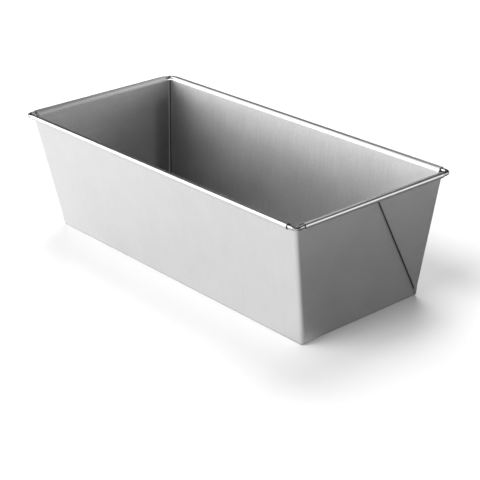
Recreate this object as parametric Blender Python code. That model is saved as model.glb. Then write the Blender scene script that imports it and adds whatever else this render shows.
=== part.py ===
"""Loaf cake pan folded from one steel sheet, its rim rolled over a wire.

Metres, +Z up. The origin is the middle of the underside, and the long side walls run along X.
"""

import math

import bmesh
import bpy
from mathutils import Vector

# Tray, measured on its outer faces. The base is where the walls would meet the floor in a sharp edge
BASE_LENGTH = 0.2296
BASE_WIDTH = 0.0880
WIRE_HEIGHT = 0.0750
END_LEAN = math.radians(6.5)
SIDE_LEAN = math.radians(8.1)

# Sheet and its bends. The radii are on the inside of each bend
SHEET = 0.0006
CORNER_BEND_RADIUS = 0.0018
BASE_BEND_RADIUS = 0.0009
FLOOR_CORNER_RADIUS = 0.0005

# Corner webs, folded in half and laid against the end walls
FOLD_GAP = 0.0002
CREVICE = 0.0008
FOOT_LAND = 0.0004
FOLD_TIP_CLEARANCE = 0.0010

# Rim wire and the curls around it. The walls start to turn outwards below the wire's middle
WIRE_DIAMETER = 0.0016
WIRE_CLEARANCE = 0.0003
BEAD_STANDOFF = 0.0003
WIRE_BEND_RADIUS = 0.0040
SHOULDER_DROP = 0.0009
CURL_SETBACK = 0.0060
CURL_PAST_TOP = math.radians(240)
WIRE_JOINT_GAP = 0.0005

# Finish
SHEET_COLOUR = (0.72, 0.72, 0.71)
SHEET_ROUGHNESS = 0.35
WIRE_COLOUR = (0.60, 0.60, 0.60)
WIRE_ROUGHNESS = 0.30

# Facets
CORNER_STEPS = 8
FOLD_STEPS = 4
BASE_STEPS = 6
SHOULDER_STEPS = 6
CURL_STEPS = 18
WIRE_BEND_STEPS = 10
WIRE_SECTION_STEPS = 4
SMOOTH_ANGLE = math.radians(35)

# Level thickness of the leaning walls, and of the two layers of web outside an end wall
END_SHEET = SHEET / math.cos(END_LEAN)
SIDE_SHEET = SHEET / math.cos(SIDE_LEAN)
WEB_LAYERS = 2 * (FOLD_GAP + END_SHEET)
FOLD_RADIUS = END_SHEET + FOLD_GAP / 2
CORNER_OUTER_RADIUS = CORNER_BEND_RADIUS + SHEET
BASE_OUTER_RADIUS = BASE_BEND_RADIUS + SHEET

# Where the flat walls and webs end and the curls begin
WALL_TOP = WIRE_HEIGHT - SHOULDER_DROP

# The bead stands just clear of what is under it: the bare side wall, or the web on an end wall
BEAD_RADIUS = WIRE_DIAMETER / 2 + WIRE_CLEARANCE + SHEET
SIDE_RIM_OFFSET = BEAD_RADIUS + BEAD_STANDOFF
END_RIM_OFFSET = WEB_LAYERS + SIDE_RIM_OFFSET

# The four corners in their order round the pan, clockwise from above
CORNERS = ((1, 1), (1, -1), (-1, -1), (-1, 1))


def clear_scene():
    for item in list(bpy.data.objects):
        bpy.data.objects.remove(item, do_unlink=True)


def bare_metal(name, colour, roughness):
    material = bpy.data.materials.new(name)
    material.use_nodes = True
    shader = material.node_tree.nodes["Principled BSDF"]
    shader.inputs["Base Color"].default_value = (*colour, 1.0)
    shader.inputs["Metallic"].default_value = 1.0
    shader.inputs["Roughness"].default_value = roughness
    return material


def end_face(height):
    """X of an end wall's outer face."""
    return BASE_LENGTH / 2 + height * math.tan(END_LEAN)


def side_face(height):
    """Y of a side wall's outer face."""
    return BASE_WIDTH / 2 + height * math.tan(SIDE_LEAN)


def rim_half_length():
    return end_face(WIRE_HEIGHT) + END_RIM_OFFSET


def rim_half_width():
    return side_face(WIRE_HEIGHT) + SIDE_RIM_OFFSET


def fold_rate():
    """How much further a web's fold is from its corner for each unit of height.

    In the flat blank a web fills the angle between the corner edges of its two walls, and the
    fold halves that angle.
    """
    edge_on_side = math.atan(math.tan(END_LEAN) * math.cos(SIDE_LEAN))
    edge_on_end = math.atan(math.tan(SIDE_LEAN) * math.cos(END_LEAN))
    half_web = (math.pi / 2 - edge_on_side - edge_on_end) / 2
    fold_lean = half_web - edge_on_end
    return (math.tan(edge_on_end) + math.tan(fold_lean)) / math.cos(END_LEAN)


def foot_reach():
    """Distance from the corner to the fold where the folded layers start.

    That is as low as the bend, the fold and the hem have room, and above the bend of the base.
    """
    bend_room = CORNER_OUTER_RADIUS + FOLD_RADIUS + FOOT_LAND
    hem_room = SIDE_SHEET + CREVICE + 2 * (FOLD_RADIUS + FOOT_LAND)
    base_room = (BASE_OUTER_RADIUS + FOOT_LAND) * fold_rate()
    return max(bend_room, hem_room, base_room)


def top_reach():
    """The same distance at the top, where the two folds of an end stop short of each other."""
    return min(WALL_TOP * fold_rate(), side_face(WALL_TOP) - FOLD_TIP_CLEARANCE)


def arc(start, sweep, steps):
    """Unit vectors along an arc."""
    angles = [start + sweep * step / steps for step in range(steps + 1)]
    return [(math.cos(angle), math.sin(angle)) for angle in angles]


def bent_sheet(centre, outside, inside, directions):
    """Pairs of outside and inside points round a bend. Both radii are given along X and Y."""
    return [
        (
            (centre[0] + outside[0] * x, centre[1] + outside[1] * y),
            (centre[0] + inside[0] * x, centre[1] + inside[1] * y),
        )
        for x, y in directions
    ]


def folded_section(height, reach):
    """The sheet's level section at the +X +Y corner, from the side wall to the end wall.

    The side wall bends round the corner, folds back along itself at the reach, turns again in a
    hem at the corner and runs on as the end wall. Each stretch is a list of pairs of outside and
    inside points.
    """
    end_x = end_face(height)
    side_y = side_face(height)
    bend_x = end_x + WEB_LAYERS - CORNER_OUTER_RADIUS
    fold_x = end_x + FOLD_GAP + END_SHEET + FOLD_GAP / 2
    root_y = side_y - reach
    fold_y = root_y + FOLD_RADIUS
    hem_x = end_x + FOLD_GAP / 2
    hem_y = side_y - SIDE_SHEET - CREVICE - FOLD_RADIUS
    mouth_x = min(bend_x, end_x - END_SHEET) - FOOT_LAND
    side_curl_x = min(rim_half_length() - CURL_SETBACK, mouth_x - FOOT_LAND)
    end_curl_y = min(rim_half_width() - CURL_SETBACK, hem_y - FOOT_LAND)

    bend_outside = (CORNER_OUTER_RADIUS, CORNER_OUTER_RADIUS)
    bend_inside = (CORNER_OUTER_RADIUS - END_SHEET, CORNER_OUTER_RADIUS - SIDE_SHEET)
    wide = (FOLD_RADIUS, FOLD_RADIUS)
    tight = (FOLD_GAP / 2, FOLD_GAP / 2)
    quarter_turn = arc(math.pi / 2, -math.pi / 2, CORNER_STEPS)
    half_turn = arc(0, -math.pi, 2 * FOLD_STEPS)
    return {
        "side_curl_end": [((side_curl_x, side_y), (side_curl_x, side_y - SIDE_SHEET))],
        "mouth": [((mouth_x, side_y), (mouth_x, side_y - SIDE_SHEET))],
        "bend": bent_sheet((bend_x, side_y - CORNER_OUTER_RADIUS), bend_outside, bend_inside,
                           quarter_turn),
        "fold_front": bent_sheet((fold_x, fold_y), wide, tight, half_turn[:FOLD_STEPS + 1]),
        "fold_back": bent_sheet((fold_x, fold_y), wide, tight, half_turn[FOLD_STEPS + 1:]),
        "hem": bent_sheet((hem_x, hem_y), tight, wide, arc(0, math.pi, 2 * FOLD_STEPS)),
        "end_curl_end": [((end_x, end_curl_y), (end_x - END_SHEET, end_curl_y))],
        "fold_root": [((end_x, root_y), (end_x - END_SHEET, root_y))],
    }


def base_section(share, radius, corner_radius, layers, side_points, end_points):
    """One level of the base's bend at the +X +Y corner, from the side wall to the end wall.

    The share runs from 0 where the bend leaves the walls to 1 where it meets the floor. The
    corner's arc has straight points before it on the side and the fold's round after it on the
    end. The corner stands out by the thickness of the web's layers, which goes to nothing at
    the floor.
    """
    side_angle = SIDE_LEAN + share * (math.pi / 2 - SIDE_LEAN)
    end_angle = END_LEAN + share * (math.pi / 2 - END_LEAN)
    side_start = side_face(0) - BASE_OUTER_RADIUS * math.tan((math.pi / 2 - SIDE_LEAN) / 2)
    end_start = end_face(0) - BASE_OUTER_RADIUS * math.tan((math.pi / 2 - END_LEAN) / 2)
    side_y = side_start + radius * math.cos(side_angle)
    end_x = end_start + radius * math.cos(end_angle)
    side_z = BASE_OUTER_RADIUS - radius * math.sin(side_angle)
    end_z = BASE_OUTER_RADIUS - radius * math.sin(end_angle)

    inset = 1 - math.cos(side_angle) / math.cos(SIDE_LEAN)
    turn = corner_radius + inset * (FLOOR_CORNER_RADIUS - corner_radius)
    spread = foot_reach() - CORNER_OUTER_RADIUS
    lift = layers * (1 - inset)
    points = []
    for number in range(side_points, 0, -1):
        points.append((end_x - turn - number * FOOT_LAND, side_y, side_z))
    for number, (x, y) in enumerate(arc(math.pi / 2, -math.pi / 2, CORNER_STEPS)):
        height = side_z + (end_z - side_z) * number / CORNER_STEPS
        points.append((end_x + lift - turn + turn * x, side_y - turn + turn * y, height))
    for x, y in arc(0, math.pi / 2, end_points)[1:]:
        points.append((end_x + lift * x, side_y - turn - spread * y, end_z))
    return points


def rounded_mouth(start, corner, end):
    """Points between two others, along a curve that turns at the corner."""
    points = []
    for step in range(1, CORNER_STEPS):
        share = step / CORNER_STEPS
        points.append((1 - share) ** 2 * start + 2 * share * (1 - share) * corner + share**2 * end)
    return points


def curl_section(lean, level_sheet, rim_offset):
    """Outside and inside points of a curl, above the straight wall.

    Each point is its distance out from the wall's outer face and its height over the wire's
    middle. The sheet leaves the wall in its own direction, turns at the height of the wire's
    middle, touches the bead's round and follows it.
    """
    radius = BEAD_RADIUS - SHEET / 2
    turn = Vector((-level_sheet / 2, 0))
    start = turn - SHOULDER_DROP * Vector((math.tan(lean), 1))
    touch_angle = math.pi - math.acos(radius / (rim_offset - turn.x))
    touch = Vector((rim_offset + radius * math.cos(touch_angle), radius * math.sin(touch_angle)))
    sweep = touch_angle - math.pi / 2 + CURL_PAST_TOP
    path = []
    for step in range(1, SHOULDER_STEPS + 1):
        share = step / SHOULDER_STEPS
        point = (1 - share) ** 2 * start + 2 * share * (1 - share) * turn + share**2 * touch
        path.append((point, (1 - share) * (turn - start) + share * (touch - turn)))
    for x, y in arc(touch_angle, -sweep, CURL_STEPS)[1:]:
        path.append((Vector((rim_offset + radius * x, radius * y)), Vector((y, -x))))

    section = []
    for point, direction in path:
        direction.normalize()
        half_sheet = Vector((direction.y, -direction.x)) * SHEET / 2
        section.append((point + half_sheet, point - half_sheet))
    return section


def place_corner(bm, section, height, corner):
    """Vertices of a section at one of the corners, outside and inside, by stretch."""
    outside = {}
    inside = {}
    for name, pairs in section.items():
        outside[name] = [bm.verts.new((corner[0] * x, corner[1] * y, height)) for (x, y), _ in pairs]
        inside[name] = [bm.verts.new((corner[0] * x, corner[1] * y, height)) for _, (x, y) in pairs]
    return outside, inside


def stretch(verts, *names):
    """The vertices of some stretches of a corner, in one list. No names means all of them."""
    return [vert for name in names or verts for vert in verts[name]]


def place_points(bm, points):
    """Vertices of a list of points at all four corners."""
    return [[bm.verts.new((x_sign * x, y_sign * y, z)) for x, y, z in points]
            for x_sign, y_sign in CORNERS]


def loop_round(corners):
    """One closed loop through the vertices of the four corners."""
    loop = []
    for number, verts in enumerate(corners):
        loop += verts if number % 2 == 0 else verts[::-1]
    return loop


def loft(bm, lower, upper):
    """Faces between two closed loops."""
    for number, vert in enumerate(lower):
        following = (number + 1) % len(lower)
        bm.faces.new((vert, lower[following], upper[following], upper[number]))


def strip(bm, first, second):
    """Faces between two open rows of vertices."""
    for number in range(len(first) - 1):
        bm.faces.new((first[number], first[number + 1], second[number + 1], second[number]))


def build_base(bm, outside_rim, inside_rim, side_points, end_points):
    """The base below the folded layers: its outer skin, its inner skin, and the floor."""
    skins = (
        (outside_rim, BASE_OUTER_RADIUS, CORNER_OUTER_RADIUS, WEB_LAYERS),
        (inside_rim, BASE_BEND_RADIUS, CORNER_BEND_RADIUS, 0),
    )
    for number, (rim, radius, corner_radius, layers) in enumerate(skins):
        upper = loop_round(rim)
        for step in range(BASE_STEPS + 1):
            points = base_section(step / BASE_STEPS, radius, corner_radius, layers,
                                  side_points[number], end_points[number])
            lower = loop_round(place_points(bm, points))
            loft(bm, lower, upper)
            upper = lower
        bm.faces.new(upper)


def build_curl(bm, run, section, across, wall):
    """A curl rolled from a run of the top edge. The axis across the wall is 0 for X and 1 for Y."""
    rows = [run]
    for outer, inner in section:
        row = []
        for outside, inside in run:
            pair = []
            for vert, (out, up) in ((outside, outer), (inside, inner)):
                place = vert.co.copy()
                place[across] = math.copysign(wall + out, place[across])
                place.z = WIRE_HEIGHT + up
                pair.append(bm.verts.new(place))
            row.append(pair)
        rows.append(row)
    for lower, upper in zip(rows, rows[1:]):
        for side in (0, 1):
            strip(bm, [pair[side] for pair in lower], [pair[side] for pair in upper])
        for end in (0, -1):
            bm.faces.new((lower[end][0], upper[end][0], upper[end][1], lower[end][1]))
    strip(bm, [pair[0] for pair in rows[-1]], [pair[1] for pair in rows[-1]])


def build_body():
    """The folded sheet."""
    bm = bmesh.new()
    foot_height = foot_reach() / fold_rate()
    foot_section = folded_section(foot_height, foot_reach())
    top_section = folded_section(WALL_TOP, top_reach())
    foot = [place_corner(bm, foot_section, foot_height, corner) for corner in CORNERS]
    top = [place_corner(bm, top_section, WALL_TOP, corner) for corner in CORNERS]

    # Both faces of the sheet, from the foot of the webs up to where the curls begin
    for side in (0, 1):
        loft(bm, loop_round([stretch(pair[side]) for pair in foot]),
             loop_round([stretch(pair[side]) for pair in top]))

    # Cut edges that stay at the corners, between the curls
    cut_edge = ("side_curl_end", "mouth", "bend", "fold_front", "fold_back", "hem", "end_curl_end")
    for outside, inside in top:
        strip(bm, stretch(outside, *cut_edge), stretch(inside, *cut_edge))

    # Bottoms of the two slots between the layers of each web
    outside_rim = []
    inside_rim = []
    for outside, inside in foot:
        mouth = inside["mouth"][0]
        hem = inside["hem"][-1]
        corner = Vector((hem.co.x, mouth.co.y, foot_height))
        curve = [bm.verts.new(point) for point in rounded_mouth(mouth.co, corner, hem.co)]
        tip = outside["fold_front"][-1]
        bm.faces.new(stretch(inside, "mouth", "bend", "fold_front", "fold_back", "hem") + curve[::-1])
        bm.faces.new([tip] + stretch(outside, "fold_back", "hem", "end_curl_end", "fold_root"))
        outside_rim.append(stretch(outside, "side_curl_end", "mouth", "bend", "fold_front", "fold_root"))
        inside_rim.append(inside["side_curl_end"] + [mouth] + curve + [hem]
                          + stretch(inside, "end_curl_end", "fold_root"))
    outside, inside = foot[0]
    before_bend = (len(stretch(outside, "side_curl_end", "mouth")), len(inside["side_curl_end"]))
    after_bend = (len(stretch(outside, "fold_front", "fold_root")),
                  len(stretch(inside, "end_curl_end", "fold_root")))
    build_base(bm, outside_rim, inside_rim, before_bend, after_bend)

    # Curls on the four walls
    side_curl = curl_section(SIDE_LEAN, SIDE_SHEET, SIDE_RIM_OFFSET)
    end_curl = curl_section(END_LEAN, END_SHEET, END_RIM_OFFSET)
    for first, second in ((3, 0), (1, 2)):
        run = [(top[number][0]["side_curl_end"][0], top[number][1]["side_curl_end"][0])
               for number in (first, second)]
        build_curl(bm, run, side_curl, 1, side_face(WIRE_HEIGHT))
    for first, second in ((0, 1), (2, 3)):
        run = [(top[number][0][name][0], top[number][1][name][0]) for number, name in (
            (first, "end_curl_end"), (first, "fold_root"),
            (second, "fold_root"), (second, "end_curl_end"))]
        build_curl(bm, run, end_curl, 0, end_face(WIRE_HEIGHT))

    bmesh.ops.recalc_face_normals(bm, faces=bm.faces)
    mesh = bpy.data.meshes.new("pan_body")
    bm.to_mesh(mesh)
    bm.free()
    mesh.shade_smooth()
    mesh.set_sharp_from_angle(angle=SMOOTH_ANGLE)
    mesh.materials.append(bare_metal("aluminised_sheet", SHEET_COLOUR, SHEET_ROUGHNESS))
    body = bpy.data.objects.new("pan_body", mesh)
    bpy.context.scene.collection.objects.link(body)
    return body


def build_wire():
    """The rim wire, whose ends meet inside the curl of one side wall."""
    half_length = rim_half_length()
    half_width = rim_half_width()
    points = [(WIRE_JOINT_GAP / 2, half_width)]
    for number, (x_sign, y_sign) in enumerate(CORNERS):
        centre = (x_sign * (half_length - WIRE_BEND_RADIUS), y_sign * (half_width - WIRE_BEND_RADIUS))
        start = math.pi / 2 - number * math.pi / 2
        for x, y in arc(start, -math.pi / 2, WIRE_BEND_STEPS):
            points.append((centre[0] + WIRE_BEND_RADIUS * x, centre[1] + WIRE_BEND_RADIUS * y))
    points.append((-WIRE_JOINT_GAP / 2, half_width))

    curve = bpy.data.curves.new("rim_wire", "CURVE")
    curve.dimensions = "3D"
    curve.bevel_depth = WIRE_DIAMETER / 2
    curve.bevel_resolution = WIRE_SECTION_STEPS
    curve.use_fill_caps = True
    spline = curve.splines.new("POLY")
    spline.points.add(len(points) - 1)
    for point, (x, y) in zip(spline.points, points):
        point.co = (x, y, 0, 1)
    curve.materials.append(bare_metal("wire_steel", WIRE_COLOUR, WIRE_ROUGHNESS))
    wire = bpy.data.objects.new("rim_wire", curve)
    wire.location = (0, 0, WIRE_HEIGHT)
    bpy.context.scene.collection.objects.link(wire)
    return wire


clear_scene()
build_body()
build_wire()
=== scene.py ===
"""Loaf cake pan folded from one steel sheet over a rim wire, on a white floor in soft light."""

import math

import bmesh
import bpy
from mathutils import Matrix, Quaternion, Vector


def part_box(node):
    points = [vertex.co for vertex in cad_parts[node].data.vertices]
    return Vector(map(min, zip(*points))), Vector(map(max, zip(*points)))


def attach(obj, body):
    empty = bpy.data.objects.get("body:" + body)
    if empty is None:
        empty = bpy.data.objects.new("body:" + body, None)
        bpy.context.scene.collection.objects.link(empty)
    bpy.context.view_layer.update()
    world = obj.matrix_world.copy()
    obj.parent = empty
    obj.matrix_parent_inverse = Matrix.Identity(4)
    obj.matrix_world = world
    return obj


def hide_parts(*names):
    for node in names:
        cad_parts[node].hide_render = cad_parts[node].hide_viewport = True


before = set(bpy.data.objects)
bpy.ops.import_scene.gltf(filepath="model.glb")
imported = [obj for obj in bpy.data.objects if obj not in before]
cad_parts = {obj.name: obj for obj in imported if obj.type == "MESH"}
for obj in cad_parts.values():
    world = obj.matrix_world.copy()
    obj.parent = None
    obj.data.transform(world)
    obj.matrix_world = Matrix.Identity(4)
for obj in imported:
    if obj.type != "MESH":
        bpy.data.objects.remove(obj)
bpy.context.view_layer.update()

# Folded sheet. The body of the pan is one blank of aluminised steel. Its corners aren't cut: each
# corner web is folded in half and laid against the end wall, outside, with a hem at the corner.
# The top edges of the four walls are turned outwards and rolled over the rim wire.
SHEET = 0.0004
END_LEAN = math.radians(6.5)
SIDE_LEAN = math.radians(8.1)
CORNER_RADIUS = 0.0024
MOUTH_RADIUS = 0.0010
BASE_RADIUS = 0.0009
FOLD_GAP = 0.0002
CREVICE_GAP = 0.0009
CURL_LAND = 0.0007
FOOT_HEIGHT = 0.0066
FOOT_REACH = 0.0036
TOP_REACH = 0.0508
EAR_HEIGHT = 0.0016
EAR_LAYERS = 0.85
EAR_REACH = 0.36
SHOULDER_DROP = 0.0009
BEAD_STANDOFF = 0.0003
CURL_SETBACK = 0.0055
CURL_PAST_TOP = math.radians(240)
EDGE_ROUND = 0.00008
BEND_STEPS = 12
CURL_STEPS = 36
BASE_STEPS = 8
EDGE_STEPS = 2
HAIR = 0.00002
DOUBLE = 0.000005
MIRROR_MERGE = 0.00001
CUT_ANGLE = math.radians(60)
SMOOTH_SHEET = math.radians(35)

X = Vector((1, 0, 0))
Y = Vector((0, 1, 0))
UP = Vector((0, 0, 1))

wire_low, wire_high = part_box("rim_wire")
wire_height = (wire_low.z + wire_high.z) / 2
bare_wire_radius = (wire_high.z - wire_low.z) / 2
rim_x = wire_high.x - bare_wire_radius
rim_y = wire_high.y - bare_wire_radius
bead_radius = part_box("pan_body")[1].z - wire_height
wall_top = wire_height - SHOULDER_DROP

# Level thickness of a leaning wall, and how far the wire stands out from each wall's outer face
level_sheet = SHEET / math.cos(END_LEAN)
web_layers = 2 * (FOLD_GAP + level_sheet)
fold_radius = level_sheet + FOLD_GAP / 2
side_offset = bead_radius + BEAD_STANDOFF
end_offset = web_layers + side_offset


def end_face(height):
    """How far out an end wall's outer face is at a height."""
    return rim_x - end_offset + (height - wire_height) * math.tan(END_LEAN)


def side_face(height):
    """How far out a side wall's outer face is at a height."""
    return rim_y - side_offset + (height - wire_height) * math.tan(SIDE_LEAN)


def near(value, other):
    """Whether two values are the same to within a hair."""
    return abs(value - other) < HAIR


def pick(kind, region, skin=None, loose=False):
    """Select only the points, edges or faces of the open mesh that lie wholly in a region."""
    bpy.ops.mesh.select_mode(type=kind)
    bpy.ops.mesh.select_all(action="DESELECT")
    piece = bpy.context.edit_object
    mesh = bmesh.from_edit_mesh(piece.data)
    skins = mesh.verts.layers.deform.verify()
    parts = {"VERT": mesh.verts, "EDGE": mesh.edges, "FACE": mesh.faces}[kind]
    for part in parts:
        points = [part] if kind == "VERT" else part.verts
        wanted = all(region(point.co) for point in points)
        if wanted and skin:
            number = piece.vertex_groups[skin].index
            wanted = all(number in point[skins] for point in points)
        if wanted and loose:
            wanted = part.is_boundary
        if wanted:
            part.select_set(True)
    mesh.select_flush_mode()
    bmesh.update_edit_mesh(piece.data)


def draw_out(step):
    bpy.ops.mesh.extrude_region_move(TRANSFORM_OT_translate={"value": step})


def shift(step):
    bpy.ops.transform.translate(value=step)


def bend(angle, centre, axis, steps):
    """Bend what is selected on round an axis, clockwise as seen from the axis' far end."""
    bpy.ops.mesh.spin(steps=steps, angle=angle, center=centre, axis=axis)


def merge_doubles():
    bpy.ops.mesh.select_all(action="SELECT")
    bpy.ops.mesh.remove_doubles(threshold=DOUBLE)


def face_outwards():
    """Merge doubles and turn all faces outwards."""
    merge_doubles()
    bpy.ops.mesh.normals_make_consistent(inside=False)


def apply_modifier(piece, kind, name, **settings):
    modifier = piece.modifiers.new(name, kind)
    for setting, value in settings.items():
        setattr(modifier, setting, value)
    bpy.ops.object.modifier_apply(modifier=modifier.name)


# The level section of one quarter, at the height where the folded layers start
foot_x = end_face(FOOT_HEIGHT)
foot_y = side_face(FOOT_HEIGHT)
bend_x = foot_x + web_layers - CORNER_RADIUS
mouth_x = foot_x - level_sheet - MOUTH_RADIUS
side_curl_x = mouth_x - CURL_LAND
fold_x = foot_x + (web_layers + FOLD_GAP) / 2
root_y = foot_y - FOOT_REACH
fold_y = root_y + fold_radius
hem_x = foot_x + FOLD_GAP / 2
hem_y = foot_y - level_sheet - CREVICE_GAP - fold_radius
end_curl_y = hem_y - CURL_LAND

bpy.ops.object.select_all(action="DESELECT")
bpy.ops.mesh.primitive_plane_add(size=1, location=(side_curl_x / 2, foot_y - level_sheet / 2,
                                                   FOOT_HEIGHT))
sheet = bpy.context.object
sheet.name = "folded_sheet"
sheet.scale = (side_curl_x, level_sheet, 1)
bpy.ops.object.transform_apply(location=True, rotation=True, scale=True)
for skin, wanted in (("outer", True), ("inner", False)):
    points = [point.index for point in sheet.data.vertices if near(point.co.y, foot_y) == wanted]
    sheet.vertex_groups.new(name=skin).add(points, 1.0, "REPLACE")

bpy.ops.object.mode_set(mode="EDIT")
pick("EDGE", lambda place: near(place.x, side_curl_x))
draw_out(X * CURL_LAND)
draw_out(X * (bend_x - mouth_x))
bend(math.pi / 2, (bend_x, foot_y - CORNER_RADIUS, 0), UP, BEND_STEPS)
draw_out(Y * (fold_y - foot_y + CORNER_RADIUS))
bend(math.pi, (fold_x, fold_y, 0), UP, BEND_STEPS)
draw_out(Y * (hem_y - fold_y))
bend(-math.pi, (hem_x, hem_y, 0), UP, BEND_STEPS)
draw_out(Y * (end_curl_y - hem_y))
draw_out(Y * (root_y - end_curl_y))
draw_out(Y * -root_y)
bpy.ops.mesh.select_all(action="SELECT")
draw_out(UP * (wall_top - FOOT_HEIGHT))
pick("FACE", lambda place: near(place.z, FOOT_HEIGHT))
bpy.ops.mesh.delete(type="FACE")

# The walls lean out, and the folds run away from the corners as they rise
rise = wall_top - FOOT_HEIGHT
top_fold_run = rise * math.tan(SIDE_LEAN) - TOP_REACH + FOOT_REACH
pick("VERT", lambda place: near(place.z, wall_top) and place.x > mouth_x - HAIR)
shift(X * rise * math.tan(END_LEAN))
pick("VERT", lambda place: near(place.z, wall_top) and near(place.x, side_curl_x))
shift(X * (rim_x - CURL_SETBACK - side_curl_x))
pick("VERT", lambda place: near(place.z, wall_top) and place.y > foot_y - CORNER_RADIUS - HAIR)
shift(Y * rise * math.tan(SIDE_LEAN))
pick("VERT", lambda place: near(place.z, wall_top) and near(place.y, end_curl_y))
shift(Y * (rim_y - CURL_SETBACK - end_curl_y))
pick("VERT", lambda place: near(place.z, wall_top) and HAIR < place.y < fold_y + HAIR)
shift(Y * top_fold_run)

# The crumpled foot of the web: the inner corner is closed, then both slots between the layers
inner_x = foot_x - level_sheet
inner_y = foot_y - level_sheet
pick("VERT", lambda place: near(place.z, FOOT_HEIGHT) and near(place.x, mouth_x), skin="inner")
bend(math.pi / 2, (mouth_x, inner_y - MOUTH_RADIUS, 0), UP, BEND_STEPS)
draw_out(Y * (hem_y - inner_y + MOUTH_RADIUS))
merge_doubles()
pick("VERT", lambda place: near(place.z, FOOT_HEIGHT) and place.x > mouth_x - HAIR
     and (place.y > hem_y - HAIR or place.x > inner_x + HAIR), skin="inner")
bpy.ops.mesh.edge_face_add()
pick("VERT", lambda place: near(place.z, FOOT_HEIGHT) and foot_x - HAIR < place.x < fold_x + HAIR
     and root_y - HAIR < place.y < hem_y + FOLD_GAP, skin="outer")
bpy.ops.mesh.edge_face_add()


def draw_down(skin, upper, lower):
    """Draw a skin's loose edge down to a level, with the walls' leans."""
    drop = upper - lower
    pick("EDGE", lambda place: near(place.z, upper), skin=skin, loose=True)
    draw_out(UP * -drop)
    pick("VERT", lambda place: near(place.z, lower) and place.x > HAIR)
    shift(X * -drop * math.tan(END_LEAN))
    pick("VERT", lambda place: near(place.z, lower) and place.y > HAIR)
    shift(Y * -drop * math.tan(SIDE_LEAN))


# Below the foot the web narrows to a small ear at the corner, and runs out at the underside
draw_down("inner", FOOT_HEIGHT, SHEET)
draw_down("outer", FOOT_HEIGHT, EAR_HEIGHT)
ear_x = end_face(EAR_HEIGHT)
ear_y = side_face(EAR_HEIGHT)
bend_start = ear_x + web_layers - CORNER_RADIUS
pick("VERT", lambda place: near(place.z, EAR_HEIGHT) and place.x > bend_start - HAIR
     and place.y > ear_y - FOOT_REACH - HAIR)
bpy.ops.transform.resize(value=(EAR_LAYERS, EAR_REACH, 1),
                         center_override=(ear_x, ear_y, EAR_HEIGHT))
draw_down("outer", EAR_HEIGHT, 0.0)
ear_width = EAR_LAYERS * web_layers
ear_radius = EAR_REACH * CORNER_RADIUS
bend_start = end_face(0) + ear_width - EAR_LAYERS * CORNER_RADIUS
pick("VERT", lambda place: near(place.z, 0) and place.x > bend_start - HAIR
     and place.y > side_face(0) - ear_radius - HAIR)
bpy.ops.transform.resize(value=(EAR_REACH / EAR_LAYERS, 1, 1),
                         center_override=(end_face(0) + ear_width, 0, 0))
shift(X * -ear_width)
pick("VERT", lambda place: near(place.z, 0) and HAIR < place.y < side_face(0) - ear_radius + HAIR)
bpy.ops.transform.resize(value=(0, 1, 1), center_override=(end_face(0), 0, 0))


def roll_rim(out, along, lean, face, offset):
    """Turn a wall's selected top edge outwards and roll it round the wire."""
    radius = bead_radius - SHEET / 2
    reach = offset + level_sheet / 2
    leg = SHOULDER_DROP / math.cos(lean)
    touch = math.acos(radius / reach)
    wall = out * (face - level_sheet / 2 - SHOULDER_DROP * math.tan(lean)) + UP * wall_top
    shoulder = leg / math.tan((touch - lean) / 2)
    bend(touch - lean, wall + shoulder * (out * math.cos(lean) - UP * math.sin(lean)), along, BEND_STEPS)
    draw_out((out * math.sin(touch) + UP * math.cos(touch)) * (math.sqrt(reach**2 - radius**2) - leg))
    centre = out * (face + offset) + UP * wire_height
    bend(math.pi / 2 - touch + CURL_PAST_TOP, centre, along, CURL_STEPS)


pick("FACE", lambda place: near(place.z, wall_top) and place.x < rim_x - CURL_SETBACK + HAIR
     and place.y > side_face(wall_top) - level_sheet - HAIR)
roll_rim(Y, X, SIDE_LEAN, side_face(wire_height), side_offset)
pick("FACE", lambda place: near(place.z, wall_top) and place.y < rim_y - CURL_SETBACK + HAIR
     and place.x < end_face(wall_top) + HAIR)
roll_rim(X, -Y, END_LEAN, end_face(wire_height), end_offset)

# The corner is left open where the other corners, its mirror images, join it
for middle in (lambda place: near(place.x, 0), lambda place: near(place.y, 0)):
    pick("FACE", middle)
    bpy.ops.mesh.delete(type="FACE")
bpy.ops.object.mode_set(mode="OBJECT")
apply_modifier(sheet, "MIRROR", "other_corners", use_axis=(True, True, False),
               merge_threshold=MIRROR_MERGE)

# Floor of the pan, with the round bends that join it to the walls
bpy.ops.object.mode_set(mode="EDIT")
merge_doubles()
for level, radius in ((0.0, BASE_RADIUS), (SHEET, BASE_RADIUS - SHEET)):
    pick("EDGE", lambda place: near(place.z, level))
    bpy.ops.mesh.edge_face_add()
    pick("EDGE", lambda place: near(place.z, level))
    bpy.ops.mesh.bevel(offset=radius * math.tan((math.pi / 2 - SIDE_LEAN) / 2), segments=BASE_STEPS,
                       affect="EDGES", clamp_overlap=False)
face_outwards()
bpy.ops.mesh.delete_loose()

# The blank's cut edge, with its burr rolled off: at the corners, the curls' ends and their lips
bpy.ops.mesh.select_all(action="DESELECT")
bpy.ops.mesh.edges_select_sharp(sharpness=CUT_ANGLE)
mesh = bmesh.from_edit_mesh(sheet.data)
for edge in mesh.edges:
    if edge.select and min(point.co.z for point in edge.verts) < wall_top - bead_radius:
        edge.select_set(False)
bmesh.update_edit_mesh(sheet.data)
bpy.ops.mesh.bevel(offset=EDGE_ROUND, segments=EDGE_STEPS, affect="EDGES")
face_outwards()
bpy.ops.object.mode_set(mode="OBJECT")
bpy.ops.object.shade_smooth_by_angle(angle=SMOOTH_SHEET)
apply_modifier(sheet, "WEIGHTED_NORMAL", "flat_walls", keep_sharp=True)

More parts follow.
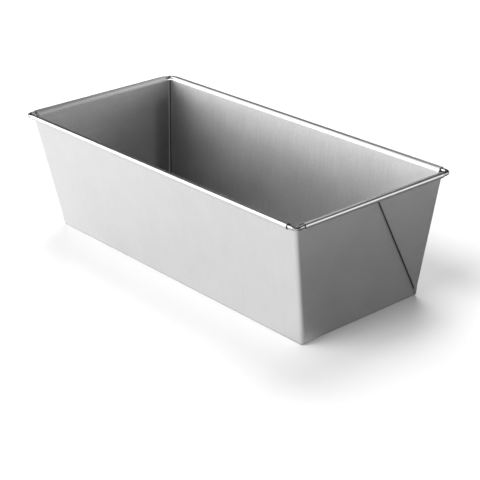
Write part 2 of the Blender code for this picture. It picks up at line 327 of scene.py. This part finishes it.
# The finish: a dull coating with fine grain, faint streaks along the way the sheet was rolled,
# and rims and bends that the folding tools have burnished
SHEET_COLOUR = 0.80
SHEET_ROUGHNESS = 0.58
GRAIN_SIZE = 0.0009
GRAIN_DETAIL = 3.0
CLOUD_SIZE = 0.0140
CLOUD_DETAIL = 4.0
GRAIN_FINENESS = 0.6
STREAK_WIDTH = 0.0013
STREAK_LENGTH = 0.0250
STREAK_DETAIL = 4.0
STREAK_FINENESS = 0.7
GRAIN_SHADE = 0.24
CLOUD_SHADE = 0.16
STREAK_SHADE = 0.24
OUTSIDE_SHARE = 0.45
ROUGHNESS_SPREAD = 0.12
BURNISHED = 0.03
WORN_SHADE = 0.05
PATCHINESS = 1.5
WEAR_RANGE = (0.3, 0.9)
# Painted shade inside the pan, darker towards the floor
INSIDE_DEEP_SHADE = 0.89
INSIDE_DEPTH = 0.0450
INSIDE_POLISH = 0.04
RIM_POLISH = 0.20
GRAIN_HEIGHT = 0.00004
WAVE_SIZE = 0.0600
WAVE_HEIGHT = 0.00012


def add_node(tree, kind, inputs=(), **settings):
    """Add a node, and give its inputs their values or links."""
    node = tree.nodes.new("ShaderNode" + kind)
    for setting, value in settings.items():
        setattr(node, setting, value)
    for name, value in dict(inputs).items():
        if isinstance(value, bpy.types.NodeSocket):
            tree.links.new(value, node.inputs[name])
        else:
            node.inputs[name].default_value = value
    return node


def work_out(tree, operation, *values):
    """The result of one step of arithmetic."""
    return add_node(tree, "Math", enumerate(values), operation=operation).outputs[0]


def measure(tree, operation, *vectors):
    """A vector's length, or the dot product of two vectors."""
    return add_node(tree, "VectorMath", enumerate(vectors), operation=operation).outputs["Value"]


def fade(tree, value, start, end, low=0.0, high=1.0):
    """A smooth step from low to high as the value goes from start to end."""
    inputs = {"Value": value, "From Min": start, "From Max": end, "To Min": low, "To Max": high}
    return add_node(tree, "MapRange", inputs, interpolation_type="SMOOTHSTEP").outputs["Result"]


def fade_out(tree, value, start, end):
    """A smooth step from one to zero as the value goes from start to end."""
    return fade(tree, value, start, end, 1.0, 0.0)


def overlap(tree, *masks):
    """The mask of where all the masks are on."""
    shared = masks[0]
    for mask in masks[1:]:
        shared = work_out(tree, "MULTIPLY", shared, mask)
    return shared


def new_group(name, inputs, outputs):
    """A node group with named inputs, places where they have no value, and number outputs."""
    group = bpy.data.node_groups.new(name, "ShaderNodeTree")
    for socket, value in inputs.items():
        if value is None:
            group.interface.new_socket(socket, in_out="INPUT", socket_type="NodeSocketVector")
        else:
            number = group.interface.new_socket(socket, in_out="INPUT", socket_type="NodeSocketFloat")
            number.default_value = value
    for socket in outputs:
        group.interface.new_socket(socket, in_out="OUTPUT", socket_type="NodeSocketFloat")
    return group, group.nodes.new("NodeGroupInput").outputs, group.nodes.new("NodeGroupOutput").inputs


def new_metal(name):
    """A new metal's material, its node tree and the places on its piece."""
    metal = bpy.data.materials.new(name)
    metal.use_nodes = True
    return metal, metal.node_tree, add_node(metal.node_tree, "TexCoord").outputs["Object"]


def dress_metal(tree, shade, roughness, height):
    """Give a metal its grey, its roughness and its relief."""
    shader = tree.nodes["Principled BSDF"]
    shader.inputs["Metallic"].default_value = 1.0
    colour = add_node(tree, "CombineColor", {"Red": shade, "Green": shade, "Blue": shade})
    bump = add_node(tree, "Bump", {"Height": height, "Strength": 1.0, "Distance": 1.0})
    tree.links.new(colour.outputs[0], shader.inputs["Base Color"])
    tree.links.new(roughness, shader.inputs["Roughness"])
    tree.links.new(bump.outputs[0], shader.inputs["Normal"])


# Grain of bare metal: fine grain and larger clouds, each around zero
metal_grain, given, result = new_group(
    "metal_grain", {"Place": None, "Grain Size": GRAIN_SIZE, "Cloud Size": CLOUD_SIZE}, ("Grain", "Clouds"))
for socket, size, detail in (("Grain", "Grain Size", GRAIN_DETAIL), ("Clouds", "Cloud Size", CLOUD_DETAIL)):
    noise = add_node(metal_grain, "TexNoise", {
        "Vector": given["Place"],
        "Scale": work_out(metal_grain, "DIVIDE", 1.0, given[size]),
        "Detail": detail,
        "Roughness": GRAIN_FINENESS,
    })
    metal_grain.links.new(work_out(metal_grain, "SUBTRACT", noise.outputs[0], 0.5), result[socket])

# Wear: what stands out is rubbed, in patches that follow the clouds
worn_edges, given, result = new_group(
    "worn_edges", {"Exposed": 0.0, "Clouds": 0.0, "Patchiness": PATCHINESS}, ("Worn",))
patchy = work_out(worn_edges, "MULTIPLY_ADD", given["Clouds"], given["Patchiness"], given["Exposed"])
worn_edges.links.new(fade(worn_edges, patchy, *WEAR_RANGE), result["Worn"])

sheet_finish, tree, place = new_metal("dull_aluminised_steel")
axes = add_node(tree, "SeparateXYZ", {"Vector": place}).outputs
grain = add_node(tree, "Group", {"Place": place, "Grain Size": GRAIN_SIZE, "Cloud Size": CLOUD_SIZE},
                 node_tree=metal_grain).outputs

# How far a point is outside an end wall's and a side wall's outer face
from_middle_x = work_out(tree, "ABSOLUTE", axes["X"])
from_middle_y = work_out(tree, "ABSOLUTE", axes["Y"])
end_wall = work_out(tree, "MULTIPLY_ADD", axes["Z"], math.tan(END_LEAN), end_face(0))
side_wall = work_out(tree, "MULTIPLY_ADD", axes["Z"], math.tan(SIDE_LEAN), side_face(0))
past_end = work_out(tree, "SUBTRACT", from_middle_x, end_wall)
past_side = work_out(tree, "SUBTRACT", from_middle_y, side_wall)

# The inside of the pan starts within the thickness of its walls and its floor
SKIN_START = 0.4 * SHEET
SKIN_FULL = 0.9 * SHEET
inside = overlap(tree, fade_out(tree, past_end, -SKIN_FULL, -SKIN_START),
                 fade_out(tree, past_side, -SKIN_FULL, -SKIN_START),
                 fade(tree, axes["Z"], SKIN_START, SKIN_FULL))

# Rubbed places: the rolled rim, the corner bends and the bend of the base
rim = fade(tree, axes["Z"], wall_top, wire_height)
corner = fade(tree, work_out(tree, "ADD", past_end, past_side), -SHEET, SHEET / 2)
base = fade_out(tree, axes["Z"], BASE_RADIUS / 3, BASE_RADIUS)
exposed = work_out(tree, "MAXIMUM", rim, work_out(tree, "MAXIMUM", corner, base))
worn = add_node(tree, "Group", {"Exposed": exposed, "Clouds": grain["Clouds"]},
                node_tree=worn_edges).outputs["Worn"]

# Streaks run across the pan: up the side walls, over the floor, and level along the end walls
END_START = 1.6 * SHEET
END_FULL = 1.2 * SHEET
at_end = fade(tree, past_end, -END_START, -END_FULL)
up_the_end = work_out(tree, "MULTIPLY", axes["Z"], at_end)
across_rolling = work_out(tree, "MULTIPLY_ADD", up_the_end, work_out(tree, "SIGN", axes["X"]), axes["X"])
along_rolling = work_out(tree, "ADD", axes["Y"], work_out(tree, "SUBTRACT", axes["Z"], up_the_end))
streak_place = add_node(tree, "CombineXYZ", {
    "X": work_out(tree, "DIVIDE", across_rolling, STREAK_WIDTH),
    "Y": work_out(tree, "DIVIDE", along_rolling, STREAK_LENGTH),
}).outputs[0]
streak_noise = add_node(tree, "TexNoise", {"Vector": streak_place, "Scale": 1.0, "Detail": STREAK_DETAIL,
                                           "Roughness": STREAK_FINENESS})
streaks = work_out(tree, "SUBTRACT", streak_noise.outputs[0], 0.5)

# The slot under each fold gets painted shade: it is at the fold's line, and only outside the end wall
SLOT_SHADE = 0.28
SLOT_WIDTH = 0.00033
SLOT_BACK = (-SHEET / 2, 0.0)
SLOT_FRONT = (1.3 * SHEET, 2.2 * SHEET)
SLOT_FOOT = (0.0023, 0.0030)
fold_line = work_out(tree, "MULTIPLY_ADD", work_out(tree, "SUBTRACT", axes["Z"], FOOT_HEIGHT),
                     top_fold_run / rise, root_y)
past_fold = work_out(tree, "SUBTRACT", from_middle_y, fold_line)
slot = overlap(tree, fade(tree, past_fold, -2 * SLOT_WIDTH, -SLOT_WIDTH / 2),
               fade_out(tree, past_fold, SLOT_WIDTH, 2 * SLOT_WIDTH),
               fade(tree, past_end, *SLOT_BACK),
               fade_out(tree, past_end, *SLOT_FRONT),
               fade(tree, axes["Z"], *SLOT_FOOT),
               fade_out(tree, axes["Z"], wall_top - SHEET, wall_top))

# So does the crevice behind each hem, within the round of the corner
CREVICE_SHADE = 0.30
CREVICE_BACK = (-1.6 * SHEET, -0.8 * SHEET)
CREVICE_SIDE = (-3.0 * SHEET, -2.2 * SHEET)
from_bend = add_node(tree, "CombineXYZ", {
    "X": work_out(tree, "ADD", past_end, CORNER_RADIUS - web_layers),
    "Y": work_out(tree, "ADD", past_side, CORNER_RADIUS),
}).outputs[0]
within_bend = fade_out(tree, measure(tree, "LENGTH", from_bend), CORNER_RADIUS - SKIN_FULL,
                       CORNER_RADIUS - SKIN_START)
crevice = overlap(tree, within_bend, fade(tree, past_end, *CREVICE_BACK),
                  fade(tree, past_side, *CREVICE_SIDE))

# Each hem, beside its crevice, gets a painted highlight, and the folding has polished it smoother
HEM_HIGHLIGHT = 1.25
hem_depth = foot_y - hem_y
hem = overlap(tree, fade(tree, past_side, -hem_depth - 2 * fold_radius, -hem_depth - fold_radius),
              fade_out(tree, past_side, fold_radius - hem_depth, 1.5 * fold_radius - hem_depth),
              at_end,
              fade_out(tree, past_end, 0.0, SHEET),
              fade(tree, axes["Z"], FOOT_HEIGHT / 2, FOOT_HEIGHT))

# Inside, the end walls get painted shade near the hems, except on the hems themselves
CORNER_SHADE = 0.58
CORNER_WIDTH = 0.0200
painted_corner_shade = overlap(tree, fade(tree, past_side, -CORNER_WIDTH, -CORNER_WIDTH / 3),
                      at_end,
                      inside,
                      fade_out(tree, hem, 0.0, 1.0),
                      fade_out(tree, axes["Z"], wall_top - CORNER_WIDTH, wall_top))

# A thin line of painted shade runs round the bottom, where the bend of the base meets the table
BASE_SHADE = 0.72
BASE_LINE = 0.0010
outermost = work_out(tree, "MAXIMUM", past_end, past_side)
painted_base_shade = overlap(tree, fade(tree, outermost, -3 * BASE_RADIUS, -BASE_RADIUS),
                    fade_out(tree, axes["Z"], BASE_LINE / 2, BASE_LINE))

# The blank's cut edge has no coating and is painted dark: at the curls' ends, and between them at the
# corners.
# The darkness is partly the bare steel and partly painted shade of the gaps round the wire
CUT_SHADE = 0.25
CUT_WIDTH = 0.0004
past_curls = work_out(tree, "MINIMUM",
                      work_out(tree, "SUBTRACT", from_middle_x, rim_x - CURL_SETBACK),
                      work_out(tree, "SUBTRACT", from_middle_y, rim_y - CURL_SETBACK))
cut = overlap(tree, fade(tree, past_curls, -CUT_WIDTH, -CUT_WIDTH / 3),
              fade(tree, axes["Z"], wall_top - CUT_WIDTH, wall_top - CUT_WIDTH / 3))

# The pattern shows most inside, where painted shade darkens the coating towards the floor
pattern = work_out(tree, "MULTIPLY", grain["Grain"], GRAIN_SHADE)
pattern = work_out(tree, "MULTIPLY_ADD", grain["Clouds"], CLOUD_SHADE, pattern)
pattern = work_out(tree, "MULTIPLY_ADD", streaks, STREAK_SHADE, pattern)
shade = work_out(tree, "MULTIPLY_ADD", pattern, fade(tree, inside, 0.0, 1.0, OUTSIDE_SHARE, 1.0), 1.0)
shade = work_out(tree, "MULTIPLY_ADD", worn, WORN_SHADE, shade)
shade = work_out(tree, "MULTIPLY", shade, SHEET_COLOUR)
# Painted shade inside, darker towards the floor; then each mask's painted shade or highlight is multiplied
# in
depth_shade = fade(tree, axes["Z"], wall_top - INSIDE_DEPTH, wall_top, INSIDE_DEEP_SHADE, 1.0)
for mask, level in ((inside, depth_shade), (slot, SLOT_SHADE), (crevice, CREVICE_SHADE),
                    (painted_corner_shade, CORNER_SHADE), (hem, HEM_HIGHLIGHT), (painted_base_shade, BASE_SHADE),
                    (cut, CUT_SHADE)):
    shade = work_out(tree, "MULTIPLY", shade, fade(tree, mask, 0.0, 1.0, 1.0, level))

# Its roughness varies with the pattern, and is less inside and where the folding burnished it
roughness = work_out(tree, "MULTIPLY_ADD", grain["Clouds"], ROUGHNESS_SPREAD, SHEET_ROUGHNESS)
roughness = work_out(tree, "MULTIPLY_ADD", streaks, ROUGHNESS_SPREAD, roughness)
folded = work_out(tree, "MAXIMUM", rim, hem)
for mask, polish in ((worn, BURNISHED), (inside, INSIDE_POLISH), (folded, RIM_POLISH)):
    roughness = work_out(tree, "MULTIPLY_ADD", mask, -polish, roughness)
wave_noise = add_node(tree, "TexNoise", {"Vector": place, "Scale": 1 / WAVE_SIZE, "Detail": 1.0})
relief = work_out(tree, "MULTIPLY", wave_noise.outputs[0], WAVE_HEIGHT)
relief = work_out(tree, "MULTIPLY_ADD", grain["Grain"], GRAIN_HEIGHT, relief)
dress_metal(tree, shade, roughness, relief)
sheet.data.materials.append(sheet_finish)
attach(sheet, "root")
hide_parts("pan_body")

# Rim wire. A round steel wire, bent to a rounded rectangle, whose ends meet in the middle of one
# side. The curls grip it, and it shows only at the four corners.
GRIP = 0.00005
WIRE_SIDES = 24
WIRE_BEND_RADIUS = 0.0030
JOINT_GAP = 0.0005
WIRE_CHAMFER = 0.00015
SMOOTH_WIRE = math.radians(50)

wire_radius = bead_radius - SHEET - GRIP
bpy.ops.object.select_all(action="DESELECT")
bpy.ops.mesh.primitive_circle_add(vertices=WIRE_SIDES, radius=wire_radius, fill_type="NGON",
                                  location=(JOINT_GAP / 2, rim_y, wire_height),
                                  rotation=(0, math.pi / 2, 0))
wire = bpy.context.object
wire.name = "rim_wire_fine"
bpy.ops.object.transform_apply(location=True, rotation=True, scale=True)
bpy.ops.object.mode_set(mode="EDIT")
pick("FACE", lambda place: near(place.x, JOINT_GAP / 2))
draw_out(X * (rim_x - WIRE_BEND_RADIUS - JOINT_GAP / 2))
bend(math.pi / 2, (rim_x - WIRE_BEND_RADIUS, rim_y - WIRE_BEND_RADIUS, 0), UP, BEND_STEPS)
draw_out(-2 * Y * (rim_y - WIRE_BEND_RADIUS))
bend(math.pi / 2, (rim_x - WIRE_BEND_RADIUS, WIRE_BEND_RADIUS - rim_y, 0), UP, BEND_STEPS)
draw_out(-X * (rim_x - WIRE_BEND_RADIUS))
bpy.ops.mesh.delete(type="FACE")
pick("EDGE", lambda place: near(place.x, JOINT_GAP / 2))
bpy.ops.mesh.bevel(offset=WIRE_CHAMFER, segments=EDGE_STEPS, affect="EDGES")
bpy.ops.object.mode_set(mode="OBJECT")
apply_modifier(wire, "MIRROR", "other_half", merge_threshold=MIRROR_MERGE)
bpy.ops.object.mode_set(mode="EDIT")
face_outwards()
bpy.ops.object.mode_set(mode="OBJECT")
bpy.ops.object.shade_smooth_by_angle(angle=SMOOTH_WIRE)

# The finish: drawn steel, greyer and smoother than the sheet, and rubbed where it stands out
WIRE_COLOUR = 0.55
WIRE_ROUGHNESS = 0.24
WIRE_BURNISHED = 0.015
DRAW_MARK_SIZE = 0.0005
DRAW_PATCH_SIZE = 0.0050

wire_finish, tree, place = new_metal("drawn_wire_steel")
grain = add_node(tree, "Group", {"Place": place, "Grain Size": DRAW_MARK_SIZE,
                                 "Cloud Size": DRAW_PATCH_SIZE}, node_tree=metal_grain).outputs
height = add_node(tree, "SeparateXYZ", {"Vector": place}).outputs["Z"]
top_side = fade(tree, height, wire_height, wire_height + wire_radius)
worn = add_node(tree, "Group", {"Exposed": top_side, "Clouds": grain["Clouds"]},
                node_tree=worn_edges).outputs["Worn"]
shade = work_out(tree, "MULTIPLY_ADD", grain["Grain"], GRAIN_SHADE, 1.0)
shade = work_out(tree, "MULTIPLY_ADD", grain["Clouds"], CLOUD_SHADE, shade)
shade = work_out(tree, "MULTIPLY", shade, WIRE_COLOUR)
roughness = work_out(tree, "MULTIPLY_ADD", grain["Clouds"], ROUGHNESS_SPREAD, WIRE_ROUGHNESS)
roughness = work_out(tree, "MULTIPLY_ADD", worn, -WIRE_BURNISHED, roughness)
dress_metal(tree, shade, roughness, work_out(tree, "MULTIPLY", grain["Grain"], GRAIN_HEIGHT))
wire.data.materials.append(wire_finish)
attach(wire, "root")
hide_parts("rim_wire")
bpy.ops.object.select_all(action="DESELECT")

# Floor. A plain white board. Its mirror image has levels of its own: white, but with a painted shadow of
# the pan beside it at the back and the right, and dark far off at the back left, where the board ends.
FLOOR_SIZE = 30.0
FLOOR_COLOUR = 0.72
FLOOR_GLOW = 0.15
GLOW_RANGE = (0.15, 0.90)
MIRRORED_LEFT = 1.05
MIRRORED_FRONT = 0.77
LEFT_RANGE = (-0.20, 0.0)
# Painted shadow of the pan in the board's mirror image
MIRRORED_DARK = 0.145
DARK_START = Vector((0.115, -0.045, 0.0))
DARK_SIDE = Vector((0.45, 0.89, 0.0))
DARK_RANGE = (-0.014, 0.022)
MIRRORED_FAR = 0.90
FAR_RANGE = (0.31, 0.60)
MIRRORED_BACK = 0.15
BACK_SIDE = Vector((-0.80, 0.60, 0.0))
BACK_RANGE = (0.25, 0.45)

bpy.ops.mesh.primitive_plane_add(size=FLOOR_SIZE)
floor = bpy.context.object
floor.name = "floor"
board = bpy.data.materials.new("white_board")
board.use_nodes = True
tree = board.node_tree
tree.nodes.clear()
place = add_node(tree, "TexCoord").outputs["Object"]
distance = measure(tree, "LENGTH", place)

# What the metal mirrors of the board, close to the pan and far off
along = add_node(tree, "SeparateXYZ", {"Vector": place}).outputs["X"]
close_level = fade(tree, along, *LEFT_RANGE, MIRRORED_LEFT, MIRRORED_FRONT)
# The painted shadow beside the pan's right end, in what the metal mirrors
from_corner = add_node(tree, "VectorMath", {0: place, 1: DARK_START}, operation="SUBTRACT").outputs[0]
to_dark = measure(tree, "DOT_PRODUCT", from_corner, DARK_SIDE)
close_level = work_out(tree, "MULTIPLY", close_level, fade(tree, to_dark, *DARK_RANGE, 1.0, MIRRORED_DARK))
to_back = measure(tree, "DOT_PRODUCT", place, BACK_SIDE)
far_level = fade(tree, to_back, *BACK_RANGE, MIRRORED_FAR, MIRRORED_BACK)
far_off = fade(tree, distance, *FAR_RANGE)
mirrored_level = add_node(tree, "Mix", {"Factor": far_off, "A": close_level, "B": far_level}).outputs[0]
mirrored = add_node(tree, "Emission", {"Color": mirrored_level})

# What the camera sees of it: white paper under the lamps, and plain white further out
paper = add_node(tree, "BsdfDiffuse", {"Color": (FLOOR_COLOUR, FLOOR_COLOUR, FLOOR_COLOUR, 1.0)})
glow = add_node(tree, "Emission", {"Strength": fade(tree, distance, *GLOW_RANGE, FLOOR_GLOW, 1.0)})
lit = add_node(tree, "AddShader", {0: paper.outputs[0], 1: glow.outputs[0]})
ray = add_node(tree, "LightPath").outputs
in_metal = work_out(tree, "MAXIMUM", ray["Is Glossy Ray"], ray["Is Transmission Ray"])
seen = add_node(tree, "MixShader", {0: in_metal, 1: lit.outputs[0], 2: mirrored.outputs[0]})
add_node(tree, "OutputMaterial", {"Surface": seen.outputs[0]})
floor.data.materials.append(board)

# Lamps. Two soft lamps, one in front of the pan and one behind it at the left, light the board and
# give the pan its shadow. A small third one is only mirrored, in the rims of both ends.
LAMPS = (
    ("front_lamp", Vector((0.0, -0.60, 1.04)), 0.80, 14.0, False),
    ("back_lamp", Vector((-0.42, 0.42, 1.04)), 0.80, 11.9, False),
    ("rim_lamp", Vector((-0.10, 0.27, 0.45)), 0.22, 0.17, True),
)
for name, spot, size, power, only_mirrored in LAMPS:
    lamp = bpy.data.lights.new(name, "AREA")
    lamp.shape = "DISK"
    lamp.size = size
    lamp.energy = power
    stand = bpy.data.objects.new(name, lamp)
    bpy.context.scene.collection.objects.link(stand)
    stand.visible_camera = False
    stand.visible_glossy = only_mirrored
    stand.visible_diffuse = not only_mirrored
    stand.location = spot
    stand.rotation_mode = "QUATERNION"
    stand.rotation_quaternion = spot.to_track_quat("Z", "Y")

# Studio. The metal mirrors a large soft light at the front left, lesser ones round the pan and a
# faint one overhead, each with its direction, strength and edge. The background is plain white.
STUDIO_LIGHTS = (
    (Vector((-0.67, -0.67, 0.30)), 3.4, 0.766),
    (Vector((0.0, -1.0, 0.08)), 1.3, 0.82),
    (Vector((0.71, 0.71, 0.08)), 1.45, 0.82),
    (Vector((-0.61, 0.61, 0.50)), 0.1, 0.888),
    (Vector((0.0, 0.0, 1.0)), 0.35, 0.766),
)
world = bpy.data.worlds.new("studio")
bpy.context.scene.world = world
world.cycles_visibility.diffuse = False
world.use_nodes = True
tree = world.node_tree
tree.nodes.clear()
place = add_node(tree, "TexCoord").outputs["Generated"]
level = 0.0
for way, strength, edge in STUDIO_LIGHTS:
    facing = measure(tree, "DOT_PRODUCT", place, way.normalized())
    level = work_out(tree, "ADD", level, fade(tree, facing, edge, 1.0, 0.0, strength))
room = add_node(tree, "Background", {"Color": level})
white = add_node(tree, "Background", {"Color": (1.0, 1.0, 1.0, 1.0)})
ray = add_node(tree, "LightPath").outputs
seen = add_node(tree, "MixShader", {0: ray["Is Camera Ray"], 1: room.outputs[0], 2: white.outputs[0]})
add_node(tree, "OutputWorld", {"Surface": seen.outputs[0]})

# Camera. It stands off the near right corner, above the rim, and looks down at the pan through a
# long lens.
CAMERA_AZIMUTH = math.radians(51.03)
CAMERA_ELEVATION = math.radians(23.86)
CAMERA_ROLL = math.radians(-2.044)
CAMERA_DISTANCE = 0.7572
CAMERA_TARGET = Vector((0.05702, -0.03627, 0.04066))
SENSOR_WIDTH = 36.0
FOCAL_LENGTH = 102.0

back = Vector((
    math.sin(CAMERA_AZIMUTH) * math.cos(CAMERA_ELEVATION),
    -math.cos(CAMERA_AZIMUTH) * math.cos(CAMERA_ELEVATION),
    math.sin(CAMERA_ELEVATION),
))
lens = bpy.data.cameras.new("camera")
lens.sensor_width = SENSOR_WIDTH
lens.lens = FOCAL_LENGTH
camera = bpy.data.objects.new("camera", lens)
bpy.context.scene.collection.objects.link(camera)
camera.location = CAMERA_TARGET + back * CAMERA_DISTANCE
camera.rotation_mode = "QUATERNION"
camera.rotation_quaternion = back.to_track_quat("Z", "Y") @ Quaternion((0, 0, 1), CAMERA_ROLL)
bpy.context.scene.camera = camera
bpy.context.scene.view_settings.view_transform = "Standard"
